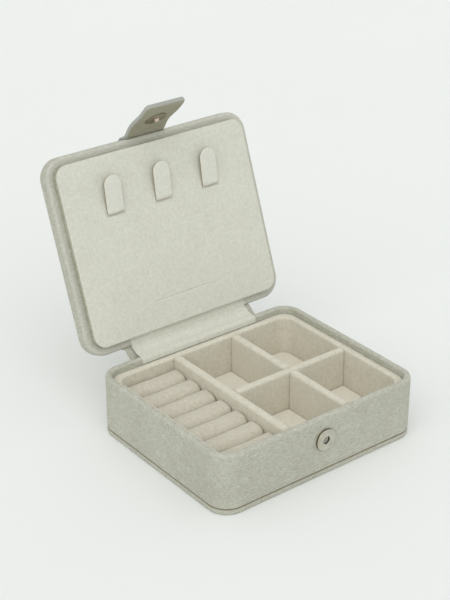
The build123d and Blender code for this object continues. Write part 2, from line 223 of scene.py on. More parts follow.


# %% [markdown]
# ## Leather
# The cover is coated leather, rolled with a shallow pebble grain and then tumbled soft, so
# that fine wrinkles run between the pebbles. To the eye that is a satin skin with a grain of
# about a millimetre. Its colour follows the grain's height as well as its own streaks and
# clouds: painted shade makes the furrows greyer and a painted highlight makes the raised grain
# paler. Cells from a Voronoi texture give the pebbles. A noise that bends the cells first keeps
# them from looking tiled.
# Two noises drawn out sideways give the wrinkles and the fine lines.
# %% Sage leathers
def make_leather(name, high, mid, low, roughness, edge_and_light_colour, inner_shade_colour=None):
    """Leather in three tones, with one more for cut edges and painted light, and maybe a darker one
    painted as shade on an inner face.
    """
    material, tree, shader, place = start_material(name)
    bend = add(tree, "ShaderNodeTexNoise", {"Vector": place, "Scale": 150.0, "Detail": 3.0})
    bent = add(tree, "ShaderNodeVectorMath", {0: bend.outputs["Color"], 1: (0.5, 0.5, 0.5)},
               operation="SUBTRACT")
    bent = add(tree, "ShaderNodeVectorMath",
               {0: bent.outputs[0], 1: (0.005, 0.005, 0.005), 2: place},
               operation="MULTIPLY_ADD").outputs[0]
    drawn = add(tree, "ShaderNodeMapping", {"Vector": bent, "Scale": (0.34, 0.34, 1.15)}).outputs[0]
    pebble = add(tree, "ShaderNodeTexVoronoi", {"Vector": bent, "Scale": 950.0},
                 feature="SMOOTH_F1").outputs["Distance"]
    wrinkle = speckle(tree, drawn, 640.0, 5.0, 0.6, noise_type="RIDGED_MULTIFRACTAL",
                      normalize=True)
    pore = speckle(tree, place, 2600.0, 2.0)
    streak = speckle(tree, drawn, 1350.0, 3.0, 0.55, 0.7)
    cloud = speckle(tree, place, 38.0, 5.0, 0.55)
    rise = maths(tree, "MULTIPLY_ADD", wrinkle, 1.1, pore)
    rise = maths(tree, "MULTIPLY_ADD", pebble, -0.7, rise)
    # The grain's height also sets the colour: painted shade in the furrows, painted highlight on
    # the raised grain.
    tone = maths(tree, "MULTIPLY_ADD", streak, 2.6, rise)
    tone = maths(tree, "MULTIPLY_ADD", cloud, 0.9, tone)
    colour = ramp(tree, spread(tree, tone, 1.55, 3.15), [(0.0, low), (0.5, mid), (1.0, high)])
    if inner_shade_colour:
        colour = mix_by_mark(tree, colour, inner_shade_colour, "inner")
    feed(tree, shader, {
        "Base Color": mix_by_mark(tree, colour, edge_and_light_colour),
        "Roughness": spread(tree, rise, 0.0, 1.6, roughness + 0.1, roughness - 0.08),
        "Normal": bump(tree, rise, 1.0, 0.0003), "IOR": 1.48, "Specular IOR Level": 0.42})
    return material


creased_leather = make_leather("creased_sage_leather", "#CECEC4", "#C1C1B4", "#ADAC9D", 0.52,
                               "#857A60")
# The sage leather with a pale tone for the painted highlight on the rim and the lid's border.
painted_highlight_leather = make_leather("sage_leather_painted_highlight", "#CECEC4", "#C1C1B4", "#ADAC9D", 0.5,
                            "#E4E4DB")
# The box's sage leather drawn darker as painted shade, for the strap and the panel's edge; the
# strap's inner face is a darker olive still, also painted shade.
shaded_leather = make_leather("sage_leather_painted_shade", "#C8C7BA", "#B8B7A8", "#9C9A86", 0.55,
                             "#ADAFA9", "#98947D")
print("leathers:", creased_leather.name, shaded_leather.name)


# %% [markdown]
# ## Suede
# The lining is a short-nap microfibre suede. It has no shine: the nap scatters light, glows a
# little at grazing angles, and varies faintly where it has been brushed. Sheen gives the glow,
# a slow noise gives the brushed patches, and two finer ones give the nap.
# %% Suede for the lining and the ring rolls
def make_suede(name, pale, mid, deep, edge_and_light_colour):
    """Suede in three tones, with one more for cut edges and for painted shade."""
    material, tree, shader, place = start_material(name)
    nap = speckle(tree, place, 1500.0, 4.0, 0.75)
    swipe = speckle(tree, place, 48.0, 6.0, distortion=0.5)
    fleck = speckle(tree, place, 520.0, 4.0)
    tone = maths(tree, "MULTIPLY_ADD", swipe, 0.35, fleck)
    tone = maths(tree, "MULTIPLY_ADD", nap, 1.1, tone)
    colour = ramp(tree, spread(tree, tone, 0.85, 1.6), [(0.0, deep), (0.5, mid), (1.0, pale)])
    height = maths(tree, "MULTIPLY_ADD", fleck, 0.8, nap)
    feed(tree, shader, {
        "Base Color": mix_by_mark(tree, colour, edge_and_light_colour),
        "Roughness": spread(tree, nap, 0.0, 1.0, 0.9, 1.0),
        "Normal": bump(tree, height, 0.6, 0.00016),
        "Specular IOR Level": 0.2, "Sheen Weight": 0.25, "Sheen Roughness": 0.5})
    return material


panel_suede = make_suede("brushed_sage_suede", "#DDDDD2", "#D3D3C7", "#C9C8BB", "#A89F8C")
lining_suede = make_suede("brushed_stone_suede", "#DEDACD", "#D5D0C1", "#C8C1AF", "#A3957B")
tongue_suede = make_suede("stiff_sage_suede", "#E1E1D7", "#D9D9CE", "#CECEC1", "#8A7B60")
# The lining's stone suede drawn paler for the floor pads: painted light on the compartment floors.
lit_pad_suede = make_suede("stone_suede_painted_light", "#EEEADF", "#E8E3D6", "#DDD7C8", "#A3957B")
roll_suede = make_suede("brushed_beige_suede", "#D3CEC0", "#C9C3B4", "#BCB5A4", "#A3957B")
print("suedes:", panel_suede.name, lining_suede.name, roll_suede.name)


# %% [markdown]
# ## Metal and board
# The snap is stamped brass with a pale gold plate, a little tarnished. The cap's sides and hole
# take a darker tone, painted shade and reflection, and the strap's half is drawn darker as
# painted shade, with a painted highlight on its post. The walls hide grey fibreboard, pulped
# paper with darker flecks. The magnet inside the snap is sintered, dark and slightly porous.
# %% Snap plate, magnet and greyboard
def make_metal(name, bright, dull, roughness, edge_and_light_colour):
    """Metal in two tones, with one more for painted shade, reflection and highlight where the mark
    sets it.
    """
    material, tree, shader, place = start_material(name)
    grit = speckle(tree, place, 3200.0, 3.0)
    tarnish = speckle(tree, place, 260.0, 4.0)
    tone = maths(tree, "MULTIPLY_ADD", grit, 0.3, tarnish)
    colour = ramp(tree, tone, [(0.35, dull), (0.85, bright)])
    feed(tree, shader, {
        "Base Color": mix_by_mark(tree, colour, edge_and_light_colour),
        "Roughness": spread(tree, tarnish, 0.0, 1.0, roughness - 0.08, roughness + 0.12),
        "Normal": bump(tree, grit, 0.25, 0.00003), "Metallic": 1.0})
    return material


def make_board(name, pale, dark):
    """Pulped board in two tones."""
    material, tree, shader, place = start_material(name)
    pulp = speckle(tree, place, 900.0, 6.0, 0.7)
    fleck = add(tree, "ShaderNodeTexVoronoi", {"Vector": place, "Scale": 700.0}).outputs[0]
    tone = maths(tree, "MULTIPLY_ADD", fleck, 0.35, pulp)
    feed(tree, shader, {"Base Color": ramp(tree, tone, [(0.3, dark), (0.9, pale)]),
                        "Roughness": 0.9, "Normal": bump(tree, pulp, 0.4, 0.0001)})
    return material


# The cap's darker edge tone is painted shade and reflection. The strap's half is this metal drawn
# darker as painted shade, and its pale edge tone is a painted highlight on the post.
snap_plate = make_metal("pale_gold_plate", "#CFCDC1", "#B8B4A5", 0.34, "#7D7058")
stud_plate = make_metal("gold_plate_painted_shade_and_highlight", "#A39A86", "#857A66", 0.36, "#E3CFC4")
magnet_grey = make_metal("sintered_magnet", "#5E5E60", "#48484A", 0.5, "#3A3A3C")
greyboard = make_board("grey_fibreboard", "#A39B8B", "#7E776A")
print("metals and board ready")

# %% [markdown]
# ## Shapes from stacked outlines
# Nearly every part here is a rounded rectangle seen from above, with a profile that rolls over
# its edge. So a piece is a stack of outlines: each row has the same number of points, and
# neighbouring rows are joined by quads. The number of points on each side and corner never
# changes, so outlines of any size or corner fit together. Bevelling a box would be quicker, but
# it leaves faces too large to carry real creases.
# %% Helpers for meshes
WALL_STEPS = (124, 98, 15)


def rounded_loop(half_x, half_y, radius, steps=WALL_STEPS, centre=(0.0, 0.0)):
    """Points anticlockwise round a rounded rectangle; radius may be four, from front right."""
    radii = list(radius) if hasattr(radius, "__len__") else [radius] * 4
    corners = [(1, -1, -90), (1, 1, 0), (-1, 1, 90), (-1, -1, 180)]
    loop = []
    for index, (side_x, side_y, start) in enumerate(corners):
        r = max(radii[index], 0.02)
        mid = Vector((side_x * (half_x - r), side_y * (half_y - r)))
        turns = [math.radians(start + 90 * i / steps[2]) for i in range(steps[2] + 1)]
        loop.append([mid + Vector((math.cos(t), math.sin(t))) * r for t in turns])
    points = []
    for index, bend in enumerate(loop):
        following = loop[(index + 1) % 4][0]
        count = steps[1] if index % 2 == 0 else steps[0]
        points += bend
        points += [bend[-1].lerp(following, step / count) for step in range(1, count)]
    return [(p.x + centre[0], p.y + centre[1]) for p in points]


def arc(inset, height, radius, start, end, steps=5):
    """A round in a profile, about an inset and a height. 0 is outwards and 90 is up."""
    turns = [math.radians(start + (end - start) * i / steps) for i in range(steps + 1)]
    return [(inset - radius * math.cos(t), height + radius * math.sin(t)) for t in turns]


def straight(first, last, step):
    """Evenly spaced insets and heights from one to the other, without the last."""
    count = max(1, round(math.dist(first, last) / step))
    return [tuple(a + (b - a) * i / count for a, b in zip(first, last)) for i in range(count)]


def new_object(name, data):
    """Puts data in the scene as an object."""
    made = bpy.data.objects.new(name, data)
    bpy.context.scene.collection.objects.link(made)
    return made


def link(name, mesh, finish):
    """Puts a mesh in the scene under a name, smooth, with its finish."""
    mesh.name = name
    mesh.shade_smooth()
    mesh.materials.clear()
    mesh.materials.append(finish)
    return new_object(name, mesh)


def build(name, rows, finish, closed_loop=True, wrap=False):
    """A mesh from rows of points. Wrap joins the last row back to the first."""
    width = len(rows[0])
    points = [point for row in rows for point in row]
    faces = []
    last = len(rows) if wrap else len(rows) - 1
    for i in range(last):
        a, b = i * width, (i + 1) % len(rows) * width
        for j in range(width if closed_loop else width - 1):
            k = (j + 1) % width
            faces.append((a + j, a + k, b + k, b + j))
    mesh = bpy.data.meshes.new(name)
    mesh.from_pydata(points, [], faces)
    work = bmesh.new()
    work.from_mesh(mesh)
    bmesh.ops.remove_doubles(work, verts=work.verts, dist=2e-6)
    bmesh.ops.dissolve_degenerate(work, edges=work.edges, dist=1e-7)
    holes = [edge for edge in work.edges if edge.is_boundary]
    if holes:
        bmesh.ops.holes_fill(work, edges=holes, sides=0)
    bmesh.ops.recalc_face_normals(work, faces=work.faces)
    work.to_mesh(mesh)
    work.free()
    return link(name, mesh, finish)


def cap(loop, share, half_x, half_y, centre=(0.0, 0.0)):
    """The loop drawn in towards the long middle line of its rectangle."""
    reach_x, reach_y = max(half_x - half_y, 0), max(half_y - half_x, 0)
    drawn = []
    for x, y in loop:
        mid_x = centre[0] + min(max(x - centre[0], -reach_x), reach_x)
        mid_y = centre[1] + min(max(y - centre[1], -reach_y), reach_y)
        drawn.append((x + (mid_x - x) * share, y + (mid_y - y) * share))
    return drawn


def flat_loop(half_x, half_y, radius, share, steps=WALL_STEPS, centre=(0.0, 0.0)):
    """A rounded rectangle, drawn in by a share towards its long middle line."""
    loop = rounded_loop(half_x, half_y, radius, steps, centre)
    return cap(loop, share, half_x, half_y, centre) if share else loop


def swell(point, seed):
    """How far soft leather stands off its board here, from about -1 to 1."""
    at = point + Vector((seed, seed * 0.7, -seed))
    drift = noise.noise_vector(at * 70) * 0.004
    slow = noise.noise(at * 40)
    puff = noise.noise((at + drift) * 130)
    level = Vector((at.x * 0.5, at.y * 0.5, at.z * 1.2)) + drift * 1.6
    crease = max(1 - 2.4 * abs(noise.noise(level * 300)), 0)
    fine = noise.noise((at + drift) * 520)
    return 0.5 * slow + 0.25 * puff - 0.4 * crease + 0.12 * fine


def soften(piece, amount, field, seed, where=None):
    """Moves points along their normals by a field, amount in millimetres."""
    mesh = piece.data
    moved = []
    for vertex in mesh.vertices:
        share = 1.0 if where is None else where(vertex.co)
        push = field(vertex.co, seed) * amount * MM * share if share else 0.0
        moved.append(vertex.co + vertex.normal * push)
    for vertex, point in zip(mesh.vertices, moved):
        vertex.co = point
    mesh.update()


def finish_piece(piece, body, slot, *nodes):
    """Says which body a piece rides on and the nodes that it stands for; the slot is not used."""
    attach(piece, body)
    if nodes:
        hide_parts(*nodes)
    print(f"{piece.name}: {len(piece.data.polygons)} faces on {body}")
    return piece


# %% [markdown]
# ## The leather round the walls
# One strip of leather is glued round the walls, rolled over the rim and turned in. Where it is
# stretched over the edges it lies smooth, and on the flats it creases. The profile below goes
# once round the leather's section, and the creases are real movements of the surface.
# %% Walls
wall_low, wall_high = box_mm("wall_leather")
half_w, half_d = wall_high.x, wall_high.y
foot, rim = wall_low.z, wall_high.z
corner, skin, rim_t = 13.0, 1.1, 4.2
outer_round, inner_round = 2.0, 1.5


def inset_of(x, y):
    """How far inside the box's outline a point is, in millimetres."""
    over_x, over_y = abs(x) - half_w + corner, abs(y) - half_d + corner
    if over_x > 0 and over_y > 0:
        return corner - math.hypot(over_x, over_y)
    return corner - max(over_x, over_y)


def box_row(inset, height):
    loop = rounded_loop(half_w - inset, half_d - inset, corner - inset)
    return [on_box(x, y, height) for x, y in loop]


profile = [(skin, foot)] + arc(0.9, foot + 0.9, 0.9, -90, 0)
profile += straight((0.0, foot + 1.7), (0.0, rim - outer_round), 0.85)
profile += arc(outer_round, rim - outer_round, outer_round, 0, 90, 7)
profile += arc(rim_t - inner_round, rim - inner_round, inner_round, 90, 180, 6)
profile += straight((rim_t, rim - 2.4), (rim_t, 34.0), 0.9)
profile += [(rim_t, 26.0), (rim_t - 0.8, 26.0), (rim_t - 0.8, rim - skin), (skin, rim - skin)]
wall_cover = build("wall_cover", [box_row(*at) for at in profile], painted_highlight_leather, wrap=True)
# The rim's upward faces take the pale tone: a painted highlight.
mark_edge_and_light(wall_cover, lambda place, normal: 0.1 * normal.z if place.z > 0.03 else 0.0)


def wall_share(point):
    inset = inset_of(point.x / MM, point.y / MM)
    if inset > 0.9 and point.z < 0.034:
        return 0.0
    flat = min(max((point.z / MM - foot - 0.3) / 2.5, 0), 1)
    return flat * (1.0 if inset < 0.7 else 0.45)


soften(wall_cover, 0.2, swell, 3.1, wall_share)
finish_piece(wall_cover, "base", "leather", "wall_leather")

# %% [markdown]
# ## The bottom panel
# The bottom is a separate card in the same leather, a little bead under the walls. Its edge is
# rounded above and below, so a fine dark groove runs all round where it meets the walls.
# %% Bottom panel
bottom_low, bottom_high = box_mm("bottom_cover")
edge = 1.3
loop = rounded_loop(half_w - edge, half_d - edge, corner - edge)
caps = [cap(loop, share / 36, half_w, half_d) for share in range(36, 0, -1)]
rows = [[on_box(x, y, bottom_low.z) for x, y in drawn] for drawn in caps]
profile = arc(edge, bottom_low.z + edge, edge, -90, 0)
profile += arc(edge, bottom_high.z - edge, edge, 0, 90)
profile += [(skin + 0.5, bottom_high.z), (skin + 0.5, skin)]
rows += [box_row(*at) for at in profile]
rows += [[on_box(x, y, skin) for x, y in cap(loop, share, half_w, half_d)] for share in (0.5, 1)]
bottom_panel = build("bottom_panel", rows, creased_leather)
# The top of the panel's edge, up in the groove under the walls, takes the dark brown tone: painted
# shade.
mark_edge_and_light(bottom_panel, lambda place, normal: (place.z / MM - bottom_high.z + 0.9) * 1.6)
soften(bottom_panel, 0.12, swell, 8.4,
       lambda p: 0.0 if inset_of(p.x / MM, p.y / MM) > 1.4 and p.z > 0.0005 else 1.0)
finish_piece(bottom_panel, "base", "leather", "bottom_cover")

# %% [markdown]
# ## The lid's leather
# The lid is a padded card: its outer edge is a soft round, and round the inner face runs a
# narrow border. The leather there is pulled over the edge, so it crests just inside the edge and
# falls away towards the raised panel. That crest catches a line of light all round.
# %% Lid cover
[(lid_back, lid_front)] = spans("lid_leather", lid_edge, lid_in)
lid_t = lid_front - lid_back
lid_round, lid_skin, border = 3.0, 1.2, 5.8
lid_mid = (0.0, half_d)


def lid_row(inset, out, share=0.0):
    loop = flat_loop(half_w - inset, half_d - inset, max(corner - inset, 0.5), share,
                     centre=lid_mid)
    return [on_lid(x, up, out) for x, up in loop]


rows = [lid_row(lid_round, -lid_t, share / 46) for share in range(46, 0, -1)]
profile = arc(lid_round, lid_round - lid_t, lid_round, -90, 0, 8)
profile += straight((0.0, lid_round - lid_t + 0.7), (0.0, -1.6), 0.75)
profile += arc(1.7, -1.6, 1.7, 0, 90, 6)
profile += [(2.4, 0.08), (3.1, -0.02), (3.9, -0.18), (4.7, -0.36), (border, -0.5)]
profile += [(border, -lid_skin), (2.2, -lid_skin), (2.2, lid_skin - lid_t)]
rows += [lid_row(*at) for at in profile]
rows += [lid_row(2.2, lid_skin - lid_t, share) for share in (0.5, 1.0)]
lid_cover = build("lid_cover", rows, painted_highlight_leather)
# Faces turned to the lid's inner side take the pale tone: a painted highlight on the border.
mark_edge_and_light(lid_cover, lambda place, normal: 0.28 * normal.dot(lid_in))


def lid_share(point):
    away = point - lid_edge
    inset, out = inset_of(away.x / MM, away.dot(lid_up) / MM - half_d), away.dot(lid_in) / MM
    if inset > border - 0.4 and out > lid_skin - lid_t - 0.3:
        return 0.0
    if inset > 2.0 and -lid_t + lid_skin - 0.3 < out < -lid_skin + 0.3:
        return 0.0
    return 0.5 if inset < 1.6 else 1.0


soften(lid_cover, 0.2, swell, 5.7, lid_share)
finish_piece(lid_cover, "lid", "leather", "lid_leather")

# %% [markdown]
# ## The raised panel in the lid
# A leather-edged card stands on the lid's inner face, and a thin foam pad in suede lies on it.
# Between the two runs a seam. The pad's edge turns under in a small round and its face
# crowns slightly. A short plain line is pressed into it below the middle. The pad's sides
# and the pressed lines take a darker tone, painted shade, which also darkens the seam.
# %% Panel's leather edge and suede pad
(_, plinth_right), (plinth_near, plinth_far), (_, plinth_top) = spans(
    "plinth_leather", lid_edge, across, lid_up, lid_in)
panel_face = spans("lid_panel", lid_edge, lid_in)[0][1]
panel_x, panel_y = plinth_right, (plinth_far - plinth_near) / 2
panel_mid = (0.0, (plinth_near + plinth_far) / 2)
panel_corner = corner - (half_w - plinth_right)
panel_steps = (116, 92, 12)


def panel_row(inset, out, share=0.0):
    loop = flat_loop(panel_x - inset, panel_y - inset, panel_corner - inset, share, panel_steps,
                     panel_mid)
    return [on_lid(x, up, out) for x, up in loop]


profile = [(0.0, -0.9)] + straight((0.0, -0.3), (0.0, plinth_top - 0.6), 0.6)
profile += arc(0.5, plinth_top - 0.5, 0.5, 0, 90) + [(0.8, plinth_top), (0.8, -0.9)]
# The panel's edge takes the darker leather: painted shade on its sides.
plinth_edge = build("panel_edge", [panel_row(*at) for at in profile], shaded_leather, wrap=True)
soften(plinth_edge, 0.05, swell, 2.2)
finish_piece(plinth_edge, "lid", "leather", "plinth_leather")

profile = [(1.3, plinth_top + 0.02), (0.45, plinth_top + 0.03), (0.15, plinth_top + 0.14),
           (0.03, plinth_top + 0.32), (0.07, plinth_top + 0.5), (0.24, plinth_top + 0.65),
           (0.5, plinth_top + 0.75), (0.9, panel_face)]
rows = [panel_row(1.3, plinth_top + 0.02, share) for share in (1.0, 0.5)]
rows += [panel_row(*at) for at in profile]
crown, crown_rows = 0.3, 48
for step in range(1, crown_rows + 1):
    share = step / crown_rows
    rows.append(panel_row(0.9, panel_face + crown * math.sin(min(share * 5, 1) * math.pi / 2),
                          share))
lid_pad = build("lid_panel_pad", rows, panel_suede)


def press(piece, middle, half_long, half_wide, depth, spare=1.6):
    """Presses a straight groove into the lid's pad. Faces round it are cut small first."""
    work = bmesh.new()
    work.from_mesh(piece.data)

    def place(point):
        away = point - lid_edge
        return away.x / MM - middle[0], away.dot(lid_up) / MM - middle[1], away.dot(lid_in) / MM

    near = []
    for face in work.faces:
        x, up, out = place(face.calc_center_median())
        if abs(x) < half_long + spare and abs(up) < half_wide + spare and out > panel_face - 0.1:
            near.append(face)
    edges = {e for face in near for e in face.edges}
    bmesh.ops.subdivide_edges(work, edges=list(edges), cuts=5, use_grid_fill=True)
    for vertex in work.verts:
        x, up, out = place(vertex.co)
        if out < panel_face - 0.1:
            continue
        beyond = max(abs(x) - half_long, 0)
        off = math.hypot(beyond, up) / half_wide
        vertex.co -= lid_in * depth * MM * math.exp(-off ** 2 * 1.6)
    work.to_mesh(piece.data)
    work.free()


def nap_field(point, seed):
    """Slow unevenness of suede over foam or card."""
    at = point + Vector((seed, -seed, seed * 0.5))
    return 0.7 * noise.noise(at * 90) + 0.3 * noise.noise(at * 260)


tongue_root, tongue_pitch = 82.5, 36.0
soften(lid_pad, 0.09, nap_field, 1.9)
press(lid_pad, (0.0, 22.5), 22.0, 0.4, 0.4)
for side in (-1, 0, 1):
    press(lid_pad, (side * tongue_pitch, tongue_root - 0.9), 6.4, 0.5, 0.7)
# The pad's sides and pressed lines take the darker tone: painted shade.
mark_edge_and_light(lid_pad, lambda place, normal: 1.1 - 1.3 * abs(normal.dot(lid_in)))
finish_piece(lid_pad, "lid", "suede", "lid_panel")

# %% [markdown]
# ## Three tongues for necklaces
# Each tongue is a strip of stiff suede that comes out of a slit, leans off the panel and ends in
# a half circle. Its cut edge is a little darker. One tongue is shaped along a bent line, and
# then a small geometry tree sets three of them in a row, because what repeats is best made once.
# %% Tongues
(tongue_x0, tongue_x1), _, _ = spans("hook_middle", lid_edge, across, lid_up, lid_in)
tongue_half, tongue_long, tongue_t = (tongue_x1 - tongue_x0) / 2, 25.0, 1.3
tongue_step, tongue_bow = 0.25, 0.25
slopes = [(0.0, 60), (0.6, 56), (1.1, 40), (1.8, 36), (2.7, 4), (5.0, 11), (12.0, 12),
          (tongue_long, 6)]


def tongue_line(step):
    """Up and out along the middle of a tongue's thickness, with its slope."""
    up, out, line = tongue_root, panel_face - 0.7, []
    for index in range(round(tongue_long / step) + 2):
        along = index * step
        for (a, first), (b, second) in zip(slopes, slopes[1:]):
            if a <= along:
                slope = math.radians(first + (second - first) * min((along - a) / (b - a), 1))
        line.append((up, out, slope))
        up, out = up + math.cos(slope) * step, out + math.sin(slope) * step
    return line


tongue_path = tongue_line(tongue_step)


def on_tongue(x, along, off):
    """A point of a tongue: across, along its middle line, and off that line."""
    index = min(max(along / tongue_step, 0), len(tongue_path) - 1.001)
    low, t = int(index), index - int(index)
    up, out, slope = [a + (b - a) * t for a, b in zip(tongue_path[low], tongue_path[low + 1])]
    off += tongue_bow * (1 - (x / tongue_half) ** 2)
    return on_lid(x, up - math.sin(slope) * off, out + math.cos(slope) * off)


tongue_mid = (0.0, tongue_long / 2)


def tongue_row(inset, off, share=0.0):
    tip = tongue_half - 0.02 - inset
    root = max(0.9 - inset, 0.1)
    loop = flat_loop(tongue_half - inset, tongue_long / 2 - inset, [root, tip, tip, root], share,
                     (12, 22, 16), tongue_mid)
    return [on_tongue(x, y, off) for x, y in loop]


flat_rows = [1.0, 0.85, 0.7, 0.55, 0.4, 0.25, 0.12]
half_t, edge_round = tongue_t / 2, 0.55
rows = [tongue_row(edge_round, -half_t, share) for share in flat_rows]
rows += [tongue_row(*at) for at in arc(edge_round, edge_round - half_t, edge_round, -90, 0, 3)]
rows += [tongue_row(*at) for at in arc(edge_round, half_t - edge_round, edge_round, 0, 90, 3)]
rows += [tongue_row(edge_round, half_t, share) for share in flat_rows[::-1]]
one_tongue = build("one_tongue", rows, tongue_suede)


def new_tree(name, inputs):
    """An empty geometry tree with a geometry output and the named inputs."""
    tree = bpy.data.node_groups.new(name, "GeometryNodeTree")
    tree.interface.new_socket("Geometry", in_out="OUTPUT", socket_type="NodeSocketGeometry")
    for label, kind in inputs:
        tree.interface.new_socket(label, in_out="INPUT", socket_type="NodeSocket" + kind)
    return tree, add(tree, "NodeGroupInput").outputs


def evaluated(piece):
    """A piece's mesh with its modifiers applied."""
    depsgraph = bpy.context.evaluated_depsgraph_get()
    return bpy.data.meshes.new_from_object(piece.evaluated_get(depsgraph))


def grow(name, tree, values):
    """Runs a geometry tree on a new object and returns its result as a plain mesh."""
    holder = new_object(name, bpy.data.meshes.new(name))
    modifier = holder.modifiers.new("tree", "NODES")
    modifier.node_group = tree
    sockets = {item.name: item.identifier for item in tree.interface.items_tree
               if item.in_out == "INPUT"}
    for label, value in values.items():
        modifier[sockets[label]] = value
    holder.data.update()
    bpy.context.view_layer.update()
    mesh = evaluated(holder)
    bpy.data.objects.remove(holder)
    return mesh


row_tree, given = new_tree("tongues in a row", [("Tongue", "Object"), ("Count", "Int"),
                                                ("First", "Vector"), ("Pitch", "Vector"),
                                                ("Suede", "Material")])
points = add(row_tree, "GeometryNodeMeshLine",
             {"Count": given["Count"], "Start Location": given["First"],
              "Offset": given["Pitch"]})
shape = add(row_tree, "GeometryNodeObjectInfo", {"Object": given["Tongue"]})
copies = add(row_tree, "GeometryNodeInstanceOnPoints",
             {"Points": points.outputs[0], "Instance": shape.outputs["Geometry"]})
real = add(row_tree, "GeometryNodeRealizeInstances", {0: copies.outputs[0]})
done = add(row_tree, "GeometryNodeSetMaterial",
           {"Geometry": real.outputs[0], "Material": given["Suede"]})
add(row_tree, "NodeGroupOutput", {0: done.outputs[0]})
tongue_mesh = grow("tongues", row_tree, {
    "Tongue": one_tongue, "Count": 3, "First": (-tongue_pitch * MM, 0, 0),
    "Pitch": (tongue_pitch * MM, 0, 0), "Suede": tongue_suede})
bpy.data.objects.remove(one_tongue)
tongues = link("necklace_tongues", tongue_mesh, tongue_suede)
soften(tongues, 0.06, nap_field, 4.4)
mark_edge_and_light(tongues, lambda place, normal: 1.6 - 1.8 * abs(normal.dot(lid_in)))
finish_piece(tongues, "lid", "suede", "hook_left", "hook_middle", "hook_right")

# %% [markdown]
# ## The suede lining of the walls
# Strips of card covered in suede stand inside the leather walls, a few millimetres lower than
# the rim. Their top edge is a soft round, and the corners are rounder than the wall's own.
# %% Lining
lining_high = box_mm("lining_wall")[1]
lining_t, lining_corner, lining_top = 4.5, 7.0, lining_high.z
inner_x, inner_y = lining_high.x - lining_t, lining_high.y - lining_t
floor_z = 8.0


def lining_row(off, height):
    """A row off the lining's inner face, by millimetres towards the wall."""
    share = off / lining_t
    radius = lining_corner + share * (corner - rim_t - lining_corner)
    loop = rounded_loop(inner_x + off, inner_y + off, radius, (110, 84, 12))
    return [on_box(x, y, height) for x, y in loop]


soft_round = 1.5
profile = straight((0.0, floor_z), (0.0, lining_top - soft_round), 1.0)
profile += arc(soft_round, lining_top - soft_round, soft_round, 0, 90, 6)
profile += [(2.6, lining_top + 0.05), (3.6, lining_top - 0.05), (4.35, lining_top - 0.35),
            (4.45, lining_top - 1.2), (4.45, floor_z)]
lining = build("suede_lining", [lining_row(*at) for at in profile], lining_suede, wrap=True)
soften(lining, 0.16, nap_field, 6.3, lambda p: 1.0 if p.z > 0.0085 else 0.0)
finish_piece(lining, "base", "suede", "lining_wall")

# %% [markdown]
# ## Dividers and floor pads
# The dividers are thin cards folded into suede. The nap rounds their top edges and makes them
# slightly uneven. The divider that crosses runs through a notch, so the other one stops at each
# side of it. A loose suede pad lies on the floor of each compartment.
# %% Dividers
def bar(name, low, high, lengthwise, finish, parts=None, top_round=1.7):
    """A soft-topped divider between two corners, along X or Y, in one or more lengths."""
    mid_x, mid_y = (low.x + high.x) / 2, (low.y + high.y) / 2
    half = (high.y - low.y if lengthwise == "x" else high.x - low.x) / 2
    section = [(-half, low.z + (high.z - top_round - low.z) * i / 18) for i in range(18)]
    for a in range(0, 91, 15):
        t = math.radians(a)
        section.append((-half + top_round * (1 - math.cos(t)),
                        high.z - top_round + top_round * math.sin(t)))
    section.append((0.0, high.z + 0.04))
    section += [(-off, z) for off, z in section[-2::-1]]
    pieces = []
    for first, last in parts or [(low.x, high.x) if lengthwise == "x" else (low.y, high.y)]:
        count = max(4, round((last - first) / 1.0))
        rows = []
        for i in range(count + 1):
            at = first + (last - first) * i / count
            if lengthwise == "x":
                rows.append([on_box(at, mid_y + off, z) for off, z in section])
            else:
                rows.append([on_box(mid_x + off, at, z) for off, z in section])
        pieces.append(build(name, rows, finish))
    whole = pieces[0]
    if len(pieces) > 1:
        work = bmesh.new()
        for part in pieces:
            work.from_mesh(part.data)
            if part is not whole:
                bpy.data.objects.remove(part)
        work.to_mesh(whole.data)
        work.free()
        whole.name = name
    soften(whole, 0.14, nap_field, len(name) * 0.37)
    return whole


long_low, long_high = box_mm("divider_long")
cross_low, cross_high = box_mm("divider_cross")
middle_low, middle_high = box_mm("divider_middle")
long_divider = bar("long_divider", long_low, long_high, "y", lining_suede)
finish_piece(long_divider, "base", "suede", "divider_long")
cross_divider = bar("cross_divider", cross_low, cross_high, "x", lining_suede)
finish_piece(cross_divider, "base", "suede", "divider_cross")
joint_gap = 0.12
middle_divider = bar("middle_divider", middle_low, middle_high, "y", lining_suede,
                     [(middle_low.y, cross_low.y - joint_gap),
                      (cross_high.y + joint_gap, middle_high.y)])
finish_piece(middle_divider, "base", "suede", "divider_middle")


# %% Floor pads
def floor_pad(name, node):
    low, high = box_mm(node)
    mid = ((low.x + high.x) / 2, (low.y + high.y) / 2)
    half_x, half_y = (high.x - low.x) / 2, (high.y - low.y) / 2
    outer = lining_corner - 0.15
    radii = [0.8] * 4
    if high.x > inner_x - 1:
        radii[0 if low.y < -inner_y + 1 else 1] = outer

    def row(inset, z, share=0.0):
        loop = flat_loop(half_x - inset, half_y - inset, [max(r - inset, 0.1) for r in radii],
                         share, (26, 36, 6), mid)
        return [on_box(x, y, z) for x, y in loop]

    rows = [row(0.3, low.z, share) for share in (0.96, 0.5)] + [row(0.3, low.z)]
    rows += [row(*at) for at in arc(0.8, high.z - 0.8, 0.8, 0, 90, 4)]
    rows += [row(0.8, high.z + 0.25 * math.sin(min(i / 5, 1) * math.pi / 2), i / 16.6)
             for i in range(1, 17)]
    pad = build(name, rows, lit_pad_suede)
    soften(pad, 0.1, nap_field, len(node) * 0.9 + low.x * 0.01)
    return finish_piece(pad, "base", "suede", node)


